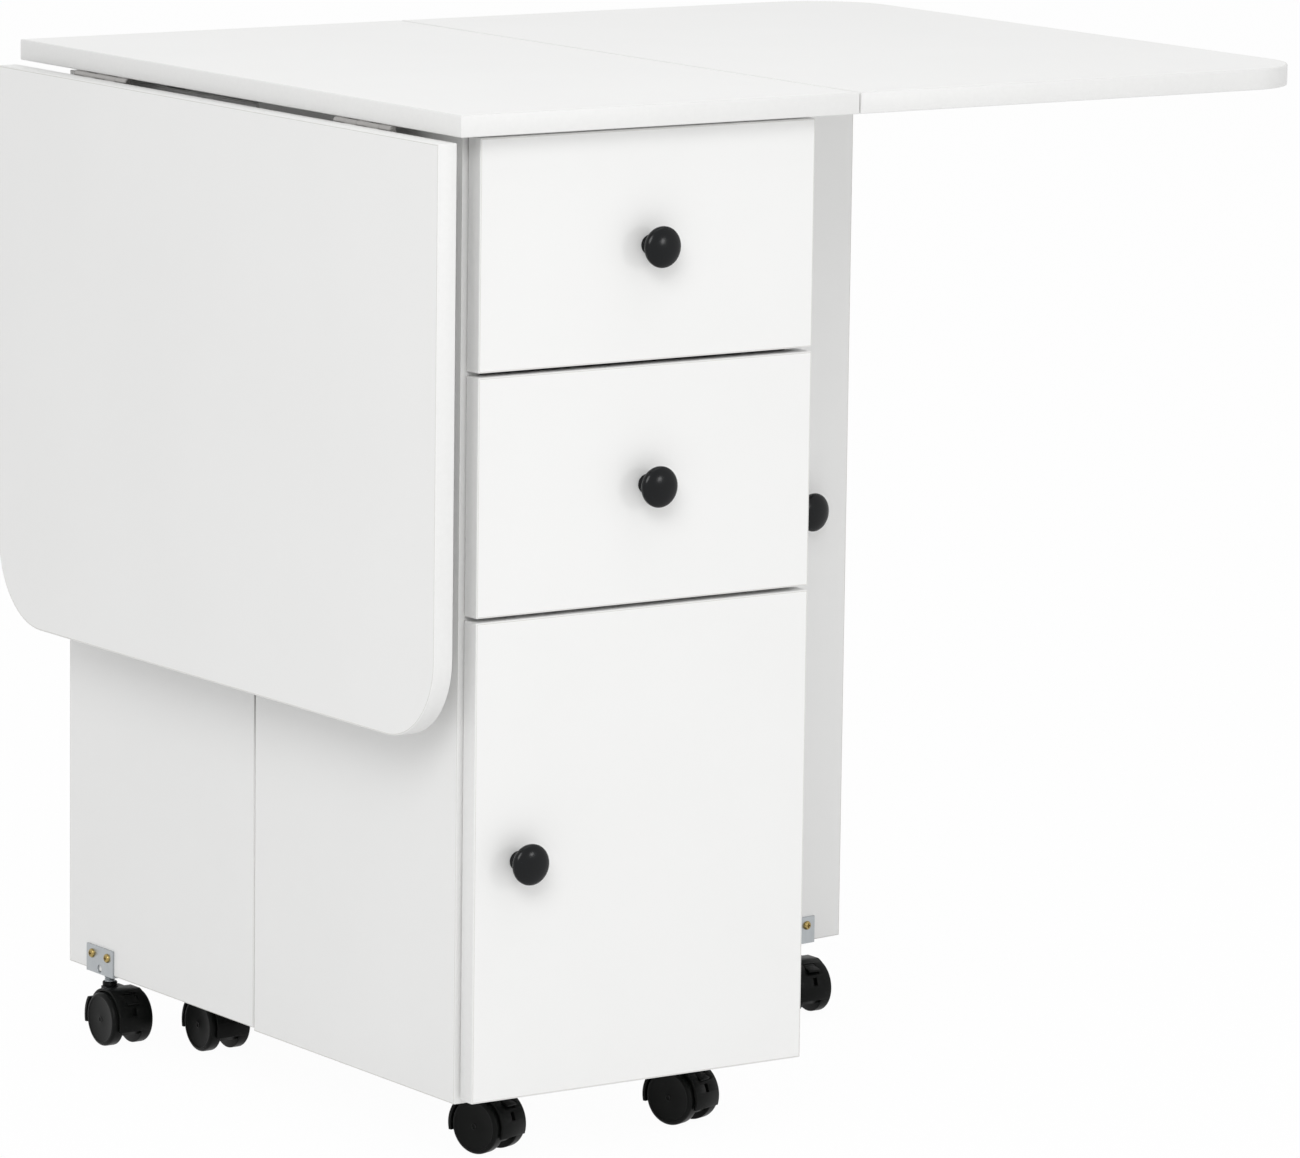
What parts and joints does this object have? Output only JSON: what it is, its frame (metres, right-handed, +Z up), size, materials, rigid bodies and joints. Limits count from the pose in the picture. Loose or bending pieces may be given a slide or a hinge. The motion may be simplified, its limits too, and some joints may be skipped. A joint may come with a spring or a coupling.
{
  "type": "drop-leaf table on casters",
  "caption": "Mobile drop-leaf table over a slim cabinet with drawers, a cupboard, gate doors and twin-wheel casters; one leaf hangs, the other is raised on its gate.",
  "frame": {"origin": "on the floor under the middle of the fixed top", "axes": "+Z up, -Y towards the drawer fronts, +X towards the raised leaf"},
  "size_m": [0.7617, 0.601, 0.74],
  "materials": {
    "white_board": "white melamine on particle board, fine pebbled surface, white edge band",
    "white_hardboard": "thin white-faced hardboard",
    "gloss_black": "gloss black",
    "black_nylon": "satin moulded black",
    "slide_steel": "zinc-plated pressed steel",
    "zinc_steel": "bright zinc-plated steel"
  },
  "bodies": {
    "cabinet": {"centre_top": "white_board", "left_side_panel": "white_board", "right_side_panel": "white_board", "divider": "white_board", "back_panel": "white_board", "front_base": "white_board", "rear_base": "white_board", "middle_board": "white_board", "top_rail": "white_board", "cupboard_shelf": "white_board", "rear_shelves": "white_board", "shelf_pins": "zinc_steel", "slide_channels": "slide_steel", "leaf_hinge_plates": "zinc_steel", "butt_hinge_plates": "zinc_steel", "hinge_pins": "zinc_steel", "caster_stems": "zinc_steel"},
    "left_leaf": {"left_leaf": "white_board", "left_leaf_hinges": "zinc_steel"},
    "right_leaf": {"right_leaf": "white_board", "right_leaf_hinges": "zinc_steel"},
    "left_gate": {"left_gate": "white_board", "left_gate_hinges": "zinc_steel", "left_gate_knob": "gloss_black", "left_gate_bracket": "zinc_steel", "left_gate_glide": "black_nylon"},
    "right_gate": {"right_gate": "white_board", "right_gate_hinges": "zinc_steel", "right_gate_knob": "gloss_black", "right_gate_bracket": "zinc_steel", "right_gate_glide": "black_nylon"},
    "door": {"door": "white_board", "door_hinges": "zinc_steel", "door_knob": "gloss_black"},
    "upper_drawer": {"upper_drawer_front": "white_board", "upper_drawer_box": "white_board", "upper_drawer_bottom": "white_hardboard", "upper_drawer_slides": "slide_steel", "upper_drawer_knob": "gloss_black"},
    "lower_drawer": {"lower_drawer_front": "white_board", "lower_drawer_box": "white_board", "lower_drawer_bottom": "white_hardboard", "lower_drawer_slides": "slide_steel", "lower_drawer_knob": "gloss_black"},
    "front_left_hood": {"front_left_hood": "black_nylon"},
    "front_left_wheels": {"front_left_wheels": "black_nylon"},
    "front_left_brake": {"front_left_brake": "black_nylon"},
    "front_right_hood": {"front_right_hood": "black_nylon"},
    "front_right_wheels": {"front_right_wheels": "black_nylon"},
    "front_right_brake": {"front_right_brake": "black_nylon"},
    "rear_left_hood": {"rear_left_hood": "black_nylon"},
    "rear_left_wheels": {"rear_left_wheels": "black_nylon"},
    "rear_right_hood": {"rear_right_hood": "black_nylon"},
    "rear_right_wheels": {"rear_right_wheels": "black_nylon"},
    "left_gate_hood": {"left_gate_hood": "black_nylon"},
    "left_gate_wheels": {"left_gate_wheels": "black_nylon"},
    "left_gate_brake": {"left_gate_brake": "black_nylon"},
    "right_gate_hood": {"right_gate_hood": "black_nylon"},
    "right_gate_wheels": {"right_gate_wheels": "black_nylon"},
    "right_gate_brake": {"right_gate_brake": "black_nylon"}
  },
  "joints": [
    {"name": "left_leaf_fold", "type": "hinge", "parent": "cabinet", "child": "left_leaf", "pos_m": [-0.16575, 0, 0.7225], "axis": [0, 1, 0], "range_deg": [0, 90]},
    {"name": "right_leaf_fold", "type": "hinge", "parent": "cabinet", "child": "right_leaf", "pos_m": [0.16575, 0, 0.7225], "axis": [0, -1, 0], "range_deg": [0, 2.5]},
    {"name": "left_gate_swing", "type": "hinge", "parent": "cabinet", "child": "left_gate", "pos_m": [-0.1449, 0.0006, 0.387], "axis": [0, 0, 1], "range_deg": [0, 0.8]},
    {"name": "right_gate_swing", "type": "hinge", "parent": "cabinet", "child": "right_gate", "pos_m": [0.1449, 0.0006, 0.387], "axis": [0, 0, 1], "range_deg": [-8, 82]},
    {"name": "door_swing", "type": "hinge", "parent": "cabinet", "child": "door", "pos_m": [0.1449, -0.2655, 0.221], "axis": [0, 0, 1], "range_deg": [0, 110]},
    {"name": "upper_drawer_slide", "type": "slide", "parent": "cabinet", "child": "upper_drawer", "axis": [0, -1, 0], "range_m": [0, 0.17]},
    {"name": "lower_drawer_slide", "type": "slide", "parent": "cabinet", "child": "lower_drawer", "axis": [0, -1, 0], "range_m": [0, 0.17]},
    {"name": "front_left_swivel", "type": "hinge", "parent": "cabinet", "child": "front_left_hood", "pos_m": [-0.0865, -0.2025, 0.04], "axis": [0, 0, 1], "continuous": true},
    {"name": "front_left_wheels_turn", "type": "hinge", "parent": "front_left_hood", "child": "front_left_wheels", "pos_m": [-0.08186, -0.21677, 0.02], "axis": [0.9511, 0.309, 0], "continuous": true},
    {"name": "front_left_brake_press", "type": "hinge", "parent": "front_left_hood", "child": "front_left_brake", "pos_m": [-0.07831, -0.2277, 0.0368], "axis": [0.9511, 0.309, 0], "range_deg": [0, 15]},
    {"name": "front_right_swivel", "type": "hinge", "parent": "cabinet", "child": "front_right_hood", "pos_m": [0.0785, -0.2025, 0.04], "axis": [0, 0, 1], "continuous": true},
    {"name": "front_right_wheels_turn", "type": "hinge", "parent": "front_right_hood", "child": "front_right_wheels", "pos_m": [0.08314, -0.21677, 0.02], "axis": [0.9511, 0.309, 0], "continuous": true},
    {"name": "front_right_brake_press", "type": "hinge", "parent": "front_right_hood", "child": "front_right_brake", "pos_m": [0.08669, -0.2277, 0.0368], "axis": [0.9511, 0.309, 0], "range_deg": [-15, 0]},
    {"name": "rear_left_swivel", "type": "hinge", "parent": "cabinet", "child": "rear_left_hood", "pos_m": [-0.0825, 0.1645, 0.04], "axis": [0, 0, 1], "continuous": true},
    {"name": "rear_left_wheels_turn", "type": "hinge", "parent": "rear_left_hood", "child": "rear_left_wheels", "pos_m": [-0.0825, 0.1495, 0.02], "axis": [1, 0, 0], "continuous": true},
    {"name": "rear_right_swivel", "type": "hinge", "parent": "cabinet", "child": "rear_right_hood", "pos_m": [0.0825, 0.1645, 0.04], "axis": [0, 0, 1], "continuous": true},
    {"name": "rear_right_wheels_turn", "type": "hinge", "parent": "rear_right_hood", "child": "rear_right_wheels", "pos_m": [0.0825, 0.1495, 0.02], "axis": [1, 0, 0], "continuous": true},
    {"name": "left_gate_swivel", "type": "hinge", "parent": "left_gate", "child": "left_gate_hood", "pos_m": [-0.135, 0.217, 0.04], "axis": [0, 0, 1], "continuous": true},
    {"name": "left_gate_wheels_turn", "type": "hinge", "parent": "left_gate_hood", "child": "left_gate_wheels", "pos_m": [-0.135, 0.202, 0.02], "axis": [1, 0, 0], "continuous": true},
    {"name": "left_gate_brake_press", "type": "hinge", "parent": "left_gate_hood", "child": "left_gate_brake", "pos_m": [-0.135, 0.1905, 0.0368], "axis": [1, 0, 0], "range_deg": [-15, 0]},
    {"name": "right_gate_swivel", "type": "hinge", "parent": "right_gate", "child": "right_gate_hood", "pos_m": [0.35782, 0.04052, 0.04], "axis": [0, 0, 1], "continuous": true},
    {"name": "right_gate_wheels_turn", "type": "hinge", "parent": "right_gate_hood", "child": "right_gate_wheels", "pos_m": [0.35782, 0.02552, 0.02], "axis": [1, 0, 0], "continuous": true},
    {"name": "right_gate_brake_press", "type": "hinge", "parent": "right_gate_hood", "child": "right_gate_brake", "pos_m": [0.35782, 0.01402, 0.0368], "axis": [1, 0, 0], "range_deg": [0, 15]}
  ]
}
